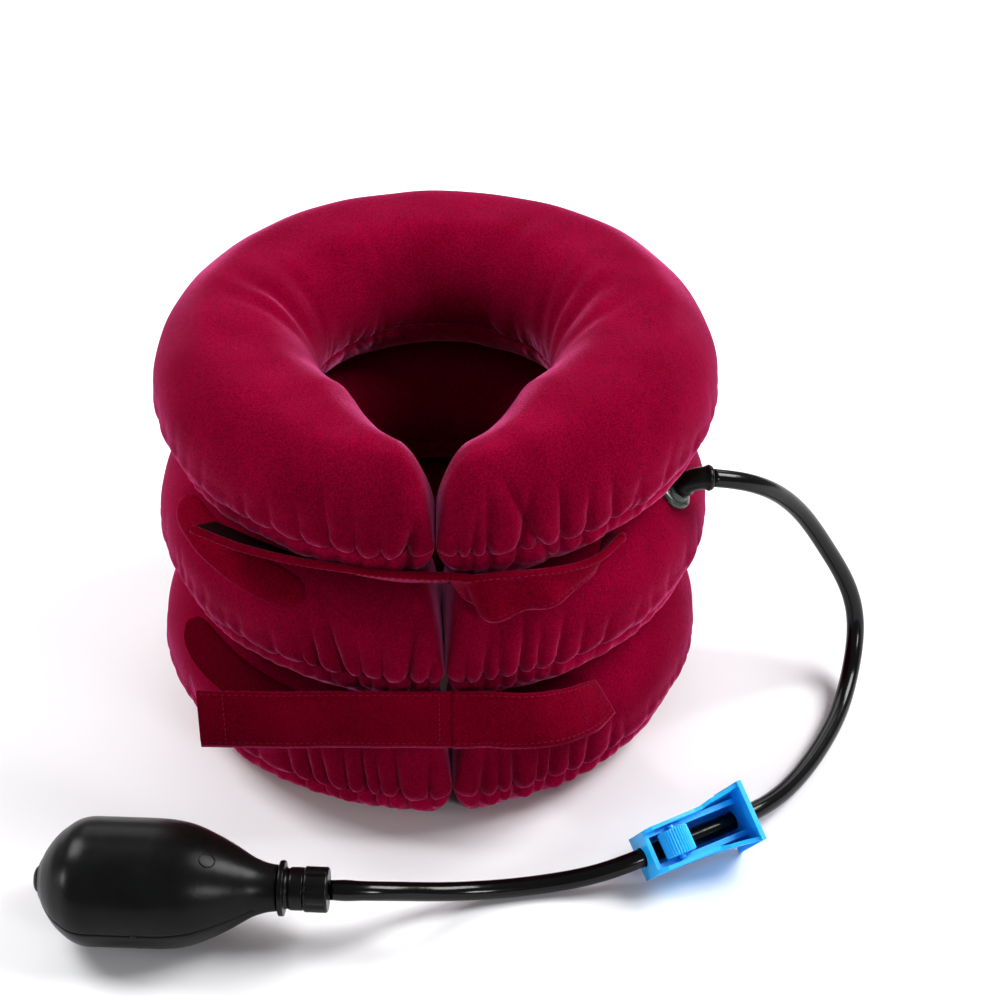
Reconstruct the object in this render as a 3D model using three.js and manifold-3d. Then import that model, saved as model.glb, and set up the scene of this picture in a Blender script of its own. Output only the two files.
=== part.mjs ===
// Inflatable three-tier cervical traction collar with its hand pump, hose and roller clamp.
// Millimetres, +Z up, the slit of the collar at -Y, z = 0 on the floor.
import * as THREE from "three";
import Module from "manifold-3d";

// Collar
const COLLAR_X = 13.3;
const COLLAR_Y = 39.6;
const HALF_WIDTH = 115;
const HALF_DEPTH_BACK = 111.5;
const HALF_DEPTH_FRONT = 116.5;
const TUBE_RADIAL = 33.8; // half the radial width of a tier
const TUBE_UPRIGHT = 32.3; // half the height of the full oval
const CROWN = 30.35; // half the height after the tiers press each other flat
const PITCH = 62.4; // from one tier to the next
const END_LENGTH = 22; // length over which an arm closes to its end seam
const END_THIN = 0.2; // share of the height left at the end seam
const NARROW_LENGTH = 52; // length over which the inner side of an arm runs to the slit
const NARROW_BY = 16;
const LEAN = [0.9, 3.4, 5.4]; // each tier sits a little further to the right
const TWIST = [6, 3.5, 1]; // and is turned a little less, in degrees
const SEAM_DROP = 6; // the seam lies this far under the middle of a tier
const SLIT_HALF = 0.8;
const FABRIC = 1.0;
const GAP = 0.3;

// Straps
const STRAP_THICK = 1.6;
const STRAP_JOIN_X = 13;

// Pump, measured along its axis from the tail of the bulb
const PUMP_X = -147.4;
const PUMP_Y = -162.9;
const BULB_RADIUS = 25.2;
const PUMP_YAW = -3;

// Hose and clamp
const HOSE_RADIUS = 3.8;
const HOSE_BORE = 2.6;
const CLAMP_X = 88.6;
const CLAMP_Y = -139.6;
const CLAMP_Z = 13.2;
const CLAMP_YAW = 29;
const CLAMP_ROLL = 36;
const CLAMP_LENGTH = 45;
const ROLLER_AT = 12;
const ROLLER_RADIUS = 6.4;

const RAD = Math.PI / 180;
const wasm = await Module();
wasm.setup();
const device = new THREE.Group();
device.position.set(COLLAR_X, COLLAR_Y, 0);

const V = (x, y, z) => new THREE.Vector3(x, y, z);

// A closed solid through rows of points. Each row is a ring. The rows close on themselves
// when wrap is true, else the first and the last ring are capped.
function loft(rows, wrap = false) {
  const n = rows[0].length;
  const points = rows.flat();
  const index = [];
  const quad = (a, b, c, d) => index.push(a, b, c, a, c, d);
  const last = wrap ? rows.length : rows.length - 1;
  for (let s = 0; s < last; s++) {
    const here = s * n;
    const next = ((s + 1) % rows.length) * n;
    for (let i = 0; i < n; i++) {
      const j = (i + 1) % n;
      quad(here + i, here + j, next + j, next + i);
    }
  }
  if (!wrap) {
    const far = (rows.length - 1) * n;
    for (let i = 0; i < n / 2 - 1; i++) {
      quad(i + 1, i, n - 1 - i, n - 2 - i);
      quad(far + i, far + i + 1, far + n - 2 - i, far + n - 1 - i);
    }
  }
  let volume = 0;
  for (let i = 0; i < index.length; i += 3) {
    const [a, b, c] = [points[index[i]], points[index[i + 1]], points[index[i + 2]]];
    volume += a.dot(b.clone().cross(c));
  }
  if (volume < 0) index.reverse();
  const geometry = new THREE.BufferGeometry().setFromPoints(points);
  geometry.setIndex(index);
  return geometry;
}

function put(parent, name, geometry) {
  const mesh = new THREE.Mesh(geometry);
  mesh.name = name;
  parent.add(mesh);
  return mesh;
}

// A ring of points round the X axis.
function circle(s, radius, sides, depth = 0) {
  return Array.from({ length: sides }, (_, i) => {
    const angle = (i / sides) * 2 * Math.PI - Math.PI / 2;
    const r = radius - (i % 2 ? depth : 0);
    return V(s, r * Math.cos(angle), r * Math.sin(angle));
  });
}

const turned = (outline, sides) => loft(outline.map(([s, r]) => circle(s, r, sides)));
const turnedShell = (outline, sides) =>
  loft(
    outline.map(([s, r]) => circle(s, r, sides)),
    true,
  );

// Rings square to a path of points.
function ringsAlong(path, radii, sides) {
  const tangents = path.map((_, i) =>
    path[Math.min(i + 1, path.length - 1)].clone().sub(path[Math.max(i - 1, 0)]).normalize(),
  );
  let side = V(0, 0, 1).cross(tangents[0]).normalize();
  return path.map((p, i) => {
    side = side.clone().addScaledVector(tangents[i], -side.dot(tangents[i])).normalize();
    const up = tangents[i].clone().cross(side);
    return Array.from({ length: sides }, (_, k) => {
      const angle = (k / sides) * 2 * Math.PI;
      return p
        .clone()
        .addScaledVector(side, radii[i] * Math.cos(angle))
        .addScaledVector(up, radii[i] * Math.sin(angle));
    });
  });
}

// ---- Tiers -------------------------------------------------------------------------------
const CENTRE_X = HALF_WIDTH - TUBE_RADIAL;
const CENTRE_BACK = HALF_DEPTH_BACK - TUBE_RADIAL;
const CENTRE_FRONT = HALF_DEPTH_FRONT - TUBE_RADIAL;
const FIRST = SLIT_HALF / CENTRE_FRONT; // angle of the first end seam, counted from the slit

// The point of the collar at an angle from the slit, out beyond the centre line.
function round(phi, out, z, lean, twist) {
  const depth = Math.cos(phi) > 0 ? CENTRE_FRONT : CENTRE_BACK;
  const p = V((CENTRE_X + out) * Math.sin(phi), -(depth + out) * Math.cos(phi), z);
  p.applyAxisAngle(V(0, 0, 1), twist * RAD);
  p.x += lean;
  return p;
}

// A point of a tier: phi goes round the neck from the slit, psi round the section from the
// outer side, inset is measured inwards from the outside of the fabric.
function tierPoint(tier, phi, psi, inset) {
  const fromEnd = (Math.min(phi, 2 * Math.PI - phi) - FIRST) * CENTRE_FRONT;
  const share = Math.min(1, Math.max(0, fromEnd / END_LENGTH));
  const puff = Math.max(END_THIN, Math.sqrt(1 - (1 - share) ** 2));
  const narrow = NARROW_BY * Math.max(0, 1 - fromEnd / NARROW_LENGTH) ** 1.6;
  const wide = TUBE_RADIAL * (0.86 + 0.14 * puff) - narrow / 2 - inset;
  const tall = TUBE_UPRIGHT * puff - inset;
  const flat = CROWN * puff - inset;
  const rise = Math.max(-flat, Math.min(flat, tall * Math.sin(psi)));
  const out = narrow / 2 + wide * Math.cos(psi);
  const z = tier * PITCH + CROWN - SEAM_DROP * (1 - puff) + rise;
  return round(phi, out, z, LEAN[tier], TWIST[tier]);
}

const END_STEPS = [0, 0.08, 0.24, 0.46, 0.72, 1, 1.7];
const MIDDLE_STEPS = 15;

function stations(skip = 0) {
  const ends = END_STEPS.slice(skip).map((t) => FIRST + (t * END_LENGTH) / CENTRE_FRONT);
  const first = ends[ends.length - 1];
  const middle = Array.from(
    { length: MIDDLE_STEPS - 1 },
    (_, i) => first + ((i + 1) / MIDDLE_STEPS) * 2 * (Math.PI - first),
  );
  return [...ends, ...middle, ...ends.map((a) => 2 * Math.PI - a).reverse()];
}

// A panel of fabric between two section angles. It closes to a solid lip at each end seam.
function panel(tier, angles) {
  const all = stations();
  return loft(
    all.map((phi, s) => {
      const lip = s === 0 || s === all.length - 1;
      const thick = lip ? TUBE_UPRIGHT * END_THIN - 1.5 * GAP : FABRIC;
      const [low, high] = angles.includes(0) ? [4, 176] : [-176, -4];
      const at = (a) => (lip ? Math.max(low, Math.min(high, a)) : a) * RAD;
      const outer = angles.map((a) => tierPoint(tier, phi, at(a), 0));
      const inner = angles.map((a) => {
        const p = tierPoint(tier, phi, at(a), FABRIC);
        if (lip) p.z = tierPoint(tier, phi, at(a), thick).z;
        return p;
      });
      return [...outer, ...inner.reverse()];
    }),
  );
}

const TOP_ANGLES = [-20, 0, 23, 46, 70, 110, 134, 157, 180, 200];
const BOTTOM_ANGLES = [-159.4, -135, -110, -70, -45, -20.6];
const BLADDER_ANGLES = [...TOP_ANGLES, 225, 250, 290, 315];

["lower", "middle", "upper"].forEach((name, tier) => {
  put(device, `${name}_top_panel`, panel(tier, TOP_ANGLES));
  put(device, `${name}_bottom_panel`, panel(tier, BOTTOM_ANGLES));
  const rows = stations(1).map((phi) =>
    BLADDER_ANGLES.map((a) => tierPoint(tier, phi, a * RAD, FABRIC + GAP)).reverse(),
  );
  put(device, `${name}_bladder`, loft(rows));
});

// Between two tiers: two curved joining bands and the air port that passes at the back.
function joinBand(z, from, to, lean) {
  const steps = 9;
  const rows = [];
  for (let s = 0; s <= steps; s++) {
    const phi = (from + ((to - from) * s) / steps) * RAD;
    rows.push(
      [
        [-6, z],
        [6, z],
        [6, z + 1],
        [-6, z + 1],
      ].map(([out, h]) => round(phi, out, h, lean, 0)),
    );
  }
  return loft(rows);
}
["lower", "upper"].forEach((name, i) => {
  const z = i * PITCH + 2 * CROWN + GAP;
  const lean = (LEAN[i] + LEAN[i + 1]) / 2;
  put(device, `${name}_join_band_right`, joinBand(z, 58, 168, lean));
  put(device, `${name}_join_band_left`, joinBand(z, 192, 302, lean));
  const port = turnedShell(
    [
      [0, 3.5],
      [0, 8],
      [1, 8],
      [1, 3.5],
    ],
    14,
  );
  port.rotateY(-Math.PI / 2);
  port.translate(lean, CENTRE_BACK, z);
  put(device, `${name}_air_port`, port);
});

// Loop patches on the left shoulder of the lower and of the middle tier.
function loopPatch(tier) {
  const rows = [];
  for (let s = 0; s <= 5; s++) {
    const phi = (330 - 9 * s) * RAD;
    const angles = [26, 36, 46, 54];
    const outer = angles.map((a) => tierPoint(tier, phi, a * RAD, -1.5));
    const inner = angles.map((a) => tierPoint(tier, phi, a * RAD, -0.7));
    rows.push([...outer, ...inner.reverse()]);
  }
  return loft(rows);
}
put(device, "lower_loop_patch", loopPatch(0));
put(device, "upper_loop_patch", loopPatch(1));

// ---- Straps ------------------------------------------------------------------------------
// A strap is a band between its rim and its second edge.
function ribbon(pairs) {
  const rims = pairs.map(([rim]) => V(...rim));
  const edges = pairs.map(([, edge]) => V(...edge));
  return loft(
    rims.map((rim, i) => {
      const a = rims[Math.max(i - 1, 0)];
      const b = rims[Math.min(i + 1, rims.length - 1)];
      const along = b.clone().sub(a).normalize();
      const across = edges[i].clone().sub(rim).normalize();
      const off = along.cross(across).normalize().multiplyScalar(STRAP_THICK / 2);
      return [
        rim.clone().add(off),
        edges[i].clone().add(off),
        edges[i].clone().sub(off),
        rim.clone().sub(off),
      ];
    }),
  );
}

const LOWER_Y = -117.4;
put(
  device,
  "lower_strap_hook_tab",
  ribbon(
    [-87, -62, -37, -12, STRAP_JOIN_X - 0.3].map((x) => [
      [x, LOWER_Y, 81.9],
      [x, LOWER_Y, 52.4],
    ]),
  ),
);
put(
  device,
  "lower_strap_base",
  ribbon([
    [[STRAP_JOIN_X, LOWER_Y, 81.9], [STRAP_JOIN_X, LOWER_Y, 52.4]],
    [[28, -117.2, 81.5], [28, -117.2, 52]],
    [[43, -115, 79], [44, -115.6, 50.5]],
    [[56, -106.5, 73.5], [60, -109, 47.5]],
    [[65, -93.5, 65.5], [72, -97, 43.5]],
    [[70, -83, 58], [79, -85, 41.5]],
  ]),
);
put(
  device,
  "upper_strap_hook_tab",
  ribbon([
    [[-88.6, -83.6, 136], [-81, -64.5, 124.5]],
    [[-68, -96.5, 137], [-62, -76.5, 124.3]],
    [[-44.7, -105.8, 138], [-41, -88.8, 124.3]],
    [[-25, -112, 139], [-23, -97, 124.3]],
    [[-6.2, -116, 139.8], [-6, -101, 124.3]],
    [[STRAP_JOIN_X - 0.3, -117, 139.8], [STRAP_JOIN_X - 0.3, -101.5, 124.3]],
  ]),
);
put(
  device,
  "upper_strap_base",
  ribbon([
    [[STRAP_JOIN_X, -117, 139.8], [STRAP_JOIN_X, -101.5, 124.3]],
    [[20, -116.8, 139.6], [20, -110, 120.5]],
    [[29, -115.5, 139.5], [29, -113.5, 117]],
    [[42, -112.5, 138.7], [42, -112, 118]],
    [[55, -108, 137], [54.5, -107.5, 121]],
    [[70, -95, 132], [67, -94, 123.5]],
    [[81.3, -77, 127], [73, -69.5, 124.3]],
  ]),
);

// ---- Inlet fitting on the right shoulder of the middle tier --------------------------------
const inlet = new THREE.Group();
inlet.position.set(102.2, -34, 115.9);
inlet.quaternion.setFromUnitVectors(V(1, 0, 0), V(0.644, -0.222, 0.732).normalize());
device.add(inlet);
put(
  inlet,
  "inlet_flange",
  turned(
    [
      [1.2, 7.5],
      [2.6, 7.5],
      [2.6, 4.6],
      [4.6, 4.3],
    ],
    16,
  ),
);
const elbowPath = [
  [105.8, -35.2, 120],
  [107, -35.5, 121.8],
  [108.9, -35.8, 123.5],
  [111.8, -35.8, 124.7],
  [116, -35.4, 125],
  [116, -35.4, 125],
  [119, -34.9, 124.6],
  [122.5, -34, 123.8],
].map((p) => V(...p));
put(
  device,
  "inlet_elbow",
  loft(ringsAlong(elbowPath, [4.3, 4.4, 4.6, 4.8, 4.8, 1.9, 1.9, 1.8], 12)),
);

// ---- Pump --------------------------------------------------------------------------------
const pump = new THREE.Group();
pump.position.set(PUMP_X, PUMP_Y, BULB_RADIUS);
pump.rotation.z = PUMP_YAW * RAD;
device.add(pump);

const BULB_OUTSIDE = [
  [0, 6.5],
  [1.3, 9],
  [5, 15.3],
  [10.5, 20.9],
  [19, BULB_RADIUS],
  [50, BULB_RADIUS],
  [58.6, 23.8],
  [67, 20.7],
  [75.5, 16.4],
  [84, 11.4],
  [89, 9.4],
  [93.4, 8.9],
];
const BULB_INSIDE = [
  [93.4, 6.9],
  [84, 9],
  [75.5, 14],
  [67, 18.2],
  [58.6, 21.3],
  [50, 22.8],
  [19, 22.7],
  [10.5, 18.5],
  [5, 12.8],
  [2.6, 8.4],
  [2.6, 5.4],
  [0, 5.4],
];
put(pump, "rubber_bulb", turnedShell([...BULB_OUTSIDE, ...BULB_INSIDE], 20));
put(
  pump,
  "inlet_valve_housing",
  turnedShell(
    [
      [-2, 1.2],
      [-2, 4.6],
      [-0.4, 6.3],
      [-0.4, 5.1],
      [6, 5.1],
      [6, 2.6],
      [5, 2.6],
      [5, 3.9],
      [1.5, 3.9],
      [1.5, 1.2],
    ],
    16,
  ),
);
put(pump, "inlet_valve_disc", turned([[1.8, 3.5], [2.8, 3.5]], 12));
put(
  pump,
  "valve_body",
  turnedShell(
    [
      [85, 1.6],
      [85, 6.5],
      [93.7, 6.5],
      [93.7, 10.8],
      [96, 10.8],
      [96, 8.4],
      [103.3, 8.4],
      [103.3, 5.4],
      [110.9, 5.4],
      [110.9, 2.6],
      [100, 2.6],
      [100, 4.2],
      [87, 4.2],
      [87, 1.6],
    ],
    16,
  ),
);
put(pump, "outlet_valve_disc", turned([[87.3, 3.7], [88.4, 3.7]], 12));
put(
  pump,
  "release_nut",
  loft(
    [
      circle(103.6, 5.8, 24),
      circle(103.6, 9, 24, 0.5),
      circle(112.9, 9, 24, 0.5),
      circle(112.9, 3.2, 24),
      circle(112, 3.2, 24),
      circle(112, 5.8, 24),
    ],
    true,
  ),
);
put(
  pump,
  "hose_barb",
  turnedShell(
    [
      [111.2, 1.2],
      [111.2, 5],
      [111.7, 5],
      [111.7, 2.9],
      [113, 2.9],
      [113.1, 2.1],
      [123, 2],
      [123, 1.2],
    ],
    12,
  ),
);

// ---- Roller clamp: X along the hose, Z through its open side -------------------------------
const clamp = new THREE.Group();
clamp.position.set(CLAMP_X, CLAMP_Y, CLAMP_Z);
clamp.rotation.set(CLAMP_ROLL * RAD, 0, CLAMP_YAW * RAD, "ZYX");
device.add(clamp);

function toSolid(geometry) {
  const flat = geometry.index ? geometry.toNonIndexed() : geometry;
  const p = flat.getAttribute("position");
  const ids = new Map();
  const vertices = [];
  const triVerts = new Uint32Array(p.count);
  for (let i = 0; i < p.count; i++) {
    const at = [p.getX(i), p.getY(i), p.getZ(i)].map((v) => Math.round(v * 1e4) / 1e4);
    const key = at.join();
    if (!ids.has(key)) {
      ids.set(key, ids.size);
      vertices.push(...at);
    }
    triVerts[i] = ids.get(key);
  }
  const vertProperties = new Float32Array(vertices);
  return new wasm.Manifold(new wasm.Mesh({ numProp: 3, vertProperties, triVerts }));
}

function toGeometry(solid) {
  const m = solid.getMesh();
  const geometry = new THREE.BufferGeometry();
  geometry.setAttribute("position", new THREE.BufferAttribute(m.vertProperties, 3));
  geometry.setIndex(new THREE.BufferAttribute(m.triVerts, 1));
  return geometry;
}

// A block between two corners.
function block(x0, x1, y0, y1, z0, z1) {
  const box = new THREE.BoxGeometry(x1 - x0, y1 - y0, z1 - z0);
  box.translate((x0 + x1) / 2, (y0 + y1) / 2, (z0 + z1) / 2);
  return toSolid(box);
}

const HALF = 9;
const WALL = 1.6;
const BASE = -5.6;
const AXLE_Z = HOSE_RADIUS + GAP + ROLLER_RADIUS;
// The side walls: distance along the clamp, height of the open edge, how far it flares out.
const WALL_STATIONS = [
  [0, 9.4, 0],
  [1, 11.2, 0.1],
  [3.5, 12.4, 0.3],
  [24, 12.8, 0.5],
  [27.5, 13, 0.7],
  [31, 14.4, 1.7],
  [35, 15, 2.1],
  [39, 16, 2.7],
  [CLAMP_LENGTH - 1.5, 17.5, 3.6],
];
const INNER = HALF - WALL;
const LEDGE = INNER - 1.7;
const ledgeTop = AXLE_Z - 1.4 - GAP;
const hoseHole = new THREE.CylinderGeometry(4.1, 4.1, CLAMP_LENGTH + 4, 20);
hoseHole.rotateZ(Math.PI / 2);
hoseHole.translate(CLAMP_LENGTH / 2, 0, 0);
function sideWall(side) {
  return toSolid(
    loft(
      WALL_STATIONS.map(([x, top, flare]) => [
        V(x, side * (HALF + 0.35 * flare), BASE),
        V(x, side * (HALF + flare), top),
        V(x, side * (INNER + flare), top),
        V(x, side * (INNER + 0.35 * flare), BASE),
      ]),
    ),
  );
}
const housing = block(0, CLAMP_LENGTH - 1.5, -HALF, HALF, BASE, BASE + WALL)
  .add(block(0, 2, -HALF + 0.2, HALF - 0.2, BASE, 9.4))
  .add(sideWall(1))
  .add(sideWall(-1))
  .add(block(1.5, CLAMP_LENGTH - 1, LEDGE, INNER + 0.5, ledgeTop - 2.6, ledgeTop))
  .add(block(1.5, CLAMP_LENGTH - 1, -INNER - 0.5, -LEDGE, ledgeTop - 2.6, ledgeTop))
  .add(block(CLAMP_LENGTH - 2, CLAMP_LENGTH, -12.8, 12.8, BASE - 1.2, 18.5))
  .subtract(toSolid(hoseHole));
put(clamp, "clamp_housing", toGeometry(housing));

const wheel = loft(
  [
    circle(-5.4, 1.7, 24),
    circle(-5.4, ROLLER_RADIUS, 24, 0.4),
    circle(5.4, ROLLER_RADIUS, 24, 0.4),
    circle(5.4, 1.7, 24),
  ],
  true,
);
wheel.rotateZ(Math.PI / 2);
wheel.translate(ROLLER_AT, 0, AXLE_Z);
put(clamp, "clamp_roller", wheel);
const axle = turned([[-7.1, 1.4], [7.1, 1.4]], 12);
axle.rotateZ(Math.PI / 2);
axle.translate(ROLLER_AT, 0, AXLE_Z);
put(clamp, "roller_axle", axle);

// ---- Hose --------------------------------------------------------------------------------
const yaw = CLAMP_YAW * RAD;
const throughClamp = (s) =>
  V(CLAMP_X + s * Math.cos(yaw), CLAMP_Y + s * Math.sin(yaw), CLAMP_Z);
const pumpAxis = (s) =>
  V(PUMP_X + s * Math.cos(PUMP_YAW * RAD), PUMP_Y + s * Math.sin(PUMP_YAW * RAD), BULB_RADIUS);
const course = [
  pumpAxis(113.3),
  pumpAxis(119),
  pumpAxis(126),
  V(-8, -163.5, 19),
  V(5, -156.8, 11.5),
  V(20, -151.5, 6.6),
  V(38, -147.6, 4.4),
  V(56, -144.8, 5),
  V(70.5, -144.2, 8.2),
  throughClamp(-6),
  throughClamp(2),
  throughClamp(26),
  throughClamp(43),
  throughClamp(51.5),
  V(146.5, -100.5, 8.6),
  V(160.5, -79, 4.8),
  V(172.2, -57.4, 4.3),
  V(180.3, -38.4, 4.6),
  V(184.8, -24, 8.8),
  V(187.8, -13, 18.5),
  V(187.6, -7.5, 31),
  V(182, -5.2, 47),
  V(173, -6, 63.5),
  V(161.5, -10.4, 85),
  V(150.5, -17.5, 101.5),
  V(138.8, -26.5, 114.5),
  V(129, -32, 121.4),
  V(122.5, -34, 123.8),
  V(117.4, -35.2, 124.8),
];
const curve = new THREE.CatmullRomCurve3(course, false, "centripetal");
const HOSE_STEPS = 60;
const run = curve.getSpacedPoints(HOSE_STEPS);
const constant = (r) => run.map(() => r);
const outerRings = ringsAlong(run, constant(HOSE_RADIUS), 8);
const boreRings = ringsAlong(run, constant(HOSE_BORE), 8);
put(device, "air_hose", loft([...outerRings, ...boreRings.reverse()], true));

const group = new THREE.Group();
group.add(device);
export default group;
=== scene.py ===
"""Looks of a three-tier inflatable cervical traction collar with its hand pump, hose and
roller clamp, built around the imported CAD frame. Shapes are worked out in millimetres from the
middle of the collar (x right, y back, z up) and turned into the row frame's metres by to_frame.
"""

import math

import bpy
import numpy as np
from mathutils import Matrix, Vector


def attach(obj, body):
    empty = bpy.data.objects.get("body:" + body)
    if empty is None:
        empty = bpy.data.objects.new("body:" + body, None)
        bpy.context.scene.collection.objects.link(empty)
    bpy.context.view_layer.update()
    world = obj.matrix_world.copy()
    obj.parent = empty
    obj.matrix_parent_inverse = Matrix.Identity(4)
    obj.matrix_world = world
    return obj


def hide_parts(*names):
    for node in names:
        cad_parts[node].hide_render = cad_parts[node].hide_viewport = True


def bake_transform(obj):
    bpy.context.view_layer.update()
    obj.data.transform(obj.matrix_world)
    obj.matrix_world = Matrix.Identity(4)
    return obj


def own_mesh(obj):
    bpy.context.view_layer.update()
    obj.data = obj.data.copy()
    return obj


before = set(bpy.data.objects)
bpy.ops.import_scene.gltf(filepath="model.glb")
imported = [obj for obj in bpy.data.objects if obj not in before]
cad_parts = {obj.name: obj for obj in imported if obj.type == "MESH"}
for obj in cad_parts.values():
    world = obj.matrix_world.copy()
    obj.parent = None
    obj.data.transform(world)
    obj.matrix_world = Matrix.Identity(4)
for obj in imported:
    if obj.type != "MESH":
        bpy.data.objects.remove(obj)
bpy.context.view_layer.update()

RAD = math.pi / 180
FULL_TURN = 2 * math.pi

# ---- Sizes shared with part.mjs (millimetres and degrees) ----------------------------------
COLLAR_X, COLLAR_Y = 13.3, 39.6  # middle of the collar in the row frame
HALF_WIDTH, HALF_DEPTH_BACK, HALF_DEPTH_FRONT = 115.0, 111.5, 116.5
TUBE_RADIAL, TUBE_UPRIGHT = 33.8, 32.3  # half the section of a tier
CROWN = 30.35  # half its height after the tiers press each other flat
PITCH = 62.4  # from one tier to the next
LEAN, TWIST = (0.9, 3.4, 5.4), (6.0, 3.5, 1.0)  # per tier, lowest first
SEAM_DROP = 6.0  # how far the end seam lies under the middle of a tier
STRAP_THICK, STRAP_JOIN_X = 1.6, 13.0
PUMP_X, PUMP_Y, PUMP_YAW, BULB_RADIUS = -147.4, -162.9, -3.0, 25.2
HOSE_RADIUS = 3.8
CLAMP_X, CLAMP_Y, CLAMP_Z, CLAMP_YAW, CLAMP_ROLL = 88.6, -139.6, 13.2, 29.0, 36.0
ROLLER_AT, AXLE_Z = 12.0, 10.5
CENTRE_X = HALF_WIDTH - TUBE_RADIAL
CENTRE_BACK = HALF_DEPTH_BACK - TUBE_RADIAL
CENTRE_FRONT = HALF_DEPTH_FRONT - TUBE_RADIAL
OUTER_RADIUS, INNER_RADIUS = CENTRE_FRONT + TUBE_RADIAL, CENTRE_FRONT - TUBE_RADIAL

# ---- Sizes of the covers, which end otherwise at the slit than the CAD solids ---------------
END_LENGTH = (7.0, 7.0, 13.0)  # over which an arm rounds off at the slit
NARROW_LENGTH = 60.0  # over which an arm grows thinner towards the slit
NARROW_BY = (14.0, 14.0, 32.0)
SLOPE = (0.0, 0.0, 0.35)  # share of its height the upper tier loses there on the neck's side
SLIT_HALF = 0.15
FIRST = SLIT_HALF / CENTRE_FRONT  # angle of an arm's end from the middle of the slit
OUTER_SEAM, INNER_SEAM = -20.0, 200.0  # degrees round the section
TIER_NAMES = ("lower", "middle", "upper")
TIER_BODIES = ("collar_base", "middle_tier", "upper_tier")


def to_frame(points):
    """Collar-centred millimetres to the row frame's metres."""
    return (np.asarray(points, float) + (COLLAR_X, COLLAR_Y, 0.0)) / 1000


def unit(v):
    v = np.asarray(v, float)
    return v / np.maximum(np.linalg.norm(v, axis=-1, keepdims=True), 1e-12)


# ---- Camera -------------------------------------------------------------------------------
LOOK_DOWN = 37.3  # degrees under the horizon
camera_data = bpy.data.cameras.new("camera")
camera_data.lens, camera_data.sensor_width = 90, 36
camera = bpy.data.objects.new("camera", camera_data)
camera.location = to_frame((31.73, -848.08, 732.69))
camera.rotation_euler = (math.radians(90 - LOOK_DOWN), 0, 0)
bpy.context.scene.collection.objects.link(camera)
bpy.context.scene.camera = camera


# ---- Mesh helpers -------------------------------------------------------------------------
def mesh_object(name, points, faces, material):
    """A mesh from points in collar-centred millimetres."""
    mesh = bpy.data.meshes.new(name)
    mesh.from_pydata(to_frame(points).tolist(), [], [list(map(int, f)) for f in faces])
    mesh.validate()
    mesh.update()
    mesh.materials.append(material)
    mesh.polygons.foreach_set("use_smooth", [True] * len(mesh.polygons))
    obj = bpy.data.objects.new(name, mesh)
    bpy.context.scene.collection.objects.link(obj)
    return obj


def outward(points, faces):
    """The faces, all turned over if they enclose a negative volume."""
    p = np.asarray(points, float)
    volume = 0.0
    for f in faces:
        for k in range(1, len(f) - 1):
            volume += np.dot(p[f[0]], np.cross(p[f[k]], p[f[k + 1]]))
    return [f[::-1] for f in faces] if volume < 0 else faces


def loft(name, rings, material, closed=False):
    """A closed skin through rings of equally many points; the ends are capped unless closed."""
    rings = np.asarray(rings, float)
    n_rings, n = rings.shape[:2]
    grid = np.arange(n_rings * n).reshape(n_rings, n)
    here = grid if closed else grid[:-1]
    there = np.roll(grid, -1, 0) if closed else grid[1:]
    quads = np.stack([here, np.roll(here, -1, 1), np.roll(there, -1, 1), there], -1)
    faces = [list(q) for q in quads.reshape(-1, 4)]
    if not closed:
        faces += [list(grid[0][::-1]), list(grid[-1])]
    points = rings.reshape(-1, 3)
    return mesh_object(name, points, outward(points, faces), material)


def catmull(points, per_span=12):
    """A centripetal Catmull-Rom curve through the points, sampled finely."""
    p = np.asarray(points, float)
    p = np.vstack([2 * p[0] - p[1], p, 2 * p[-1] - p[-2]])
    out = []
    for i in range(1, len(p) - 2):
        knots = [0.0]
        for a, b in zip(p[i - 1 : i + 2], p[i : i + 3]):
            knots.append(knots[-1] + max(np.linalg.norm(b - a), 1e-9) ** 0.5)
        t0, t1, t2, t3 = knots
        for t in np.linspace(t1, t2, per_span, endpoint=False):
            a1 = (t1 - t) / (t1 - t0) * p[i - 1] + (t - t0) / (t1 - t0) * p[i]
            a2 = (t2 - t) / (t2 - t1) * p[i] + (t - t1) / (t2 - t1) * p[i + 1]
            a3 = (t3 - t) / (t3 - t2) * p[i + 1] + (t - t2) / (t3 - t2) * p[i + 2]
            b1 = (t2 - t) / (t2 - t0) * a1 + (t - t0) / (t2 - t0) * a2
            b2 = (t3 - t) / (t3 - t1) * a2 + (t - t1) / (t3 - t1) * a3
            out.append((t2 - t) / (t2 - t1) * b1 + (t - t1) / (t2 - t1) * b2)
    out.append(p[-2])
    return np.array(out)


def evenly(line, step):
    """The line again, with points about step apart."""
    along = np.concatenate([[0], np.cumsum(np.linalg.norm(np.diff(line, axis=0), axis=1))])
    at = np.linspace(0, along[-1], max(2, int(round(along[-1] / step)) + 1))
    return np.stack([np.interp(at, along, line[:, k]) for k in range(3)], 1)


def tube_rings(path, radii, sides):
    """Rings square to a path."""
    path = np.asarray(path, float)
    radii = np.broadcast_to(radii, len(path))
    tangent = unit(np.gradient(path, axis=0))
    side = unit(np.cross((0, 0, 1.0), tangent[0]))
    turn = np.arange(sides) / sides * 2 * math.pi
    rings = []
    for p, t, r in zip(path, tangent, radii):
        side = unit(side - np.dot(side, t) * t)
        up = np.cross(t, side)
        rings.append(p + r * (np.outer(np.cos(turn), side) + np.outer(np.sin(turn), up)))
    return np.array(rings)


def noise_line(x, spacing, seed):
    """Smooth noise from -1 to 1 along a line."""
    values = np.random.default_rng(seed).uniform(-1, 1, 4096)
    u = np.asarray(x, float) / spacing + 1000
    i = np.floor(u).astype(int)
    f = u - i
    f = f * f * (3 - 2 * f)
    return values[i % 4096] * (1 - f) + values[(i + 1) % 4096] * f


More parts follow.
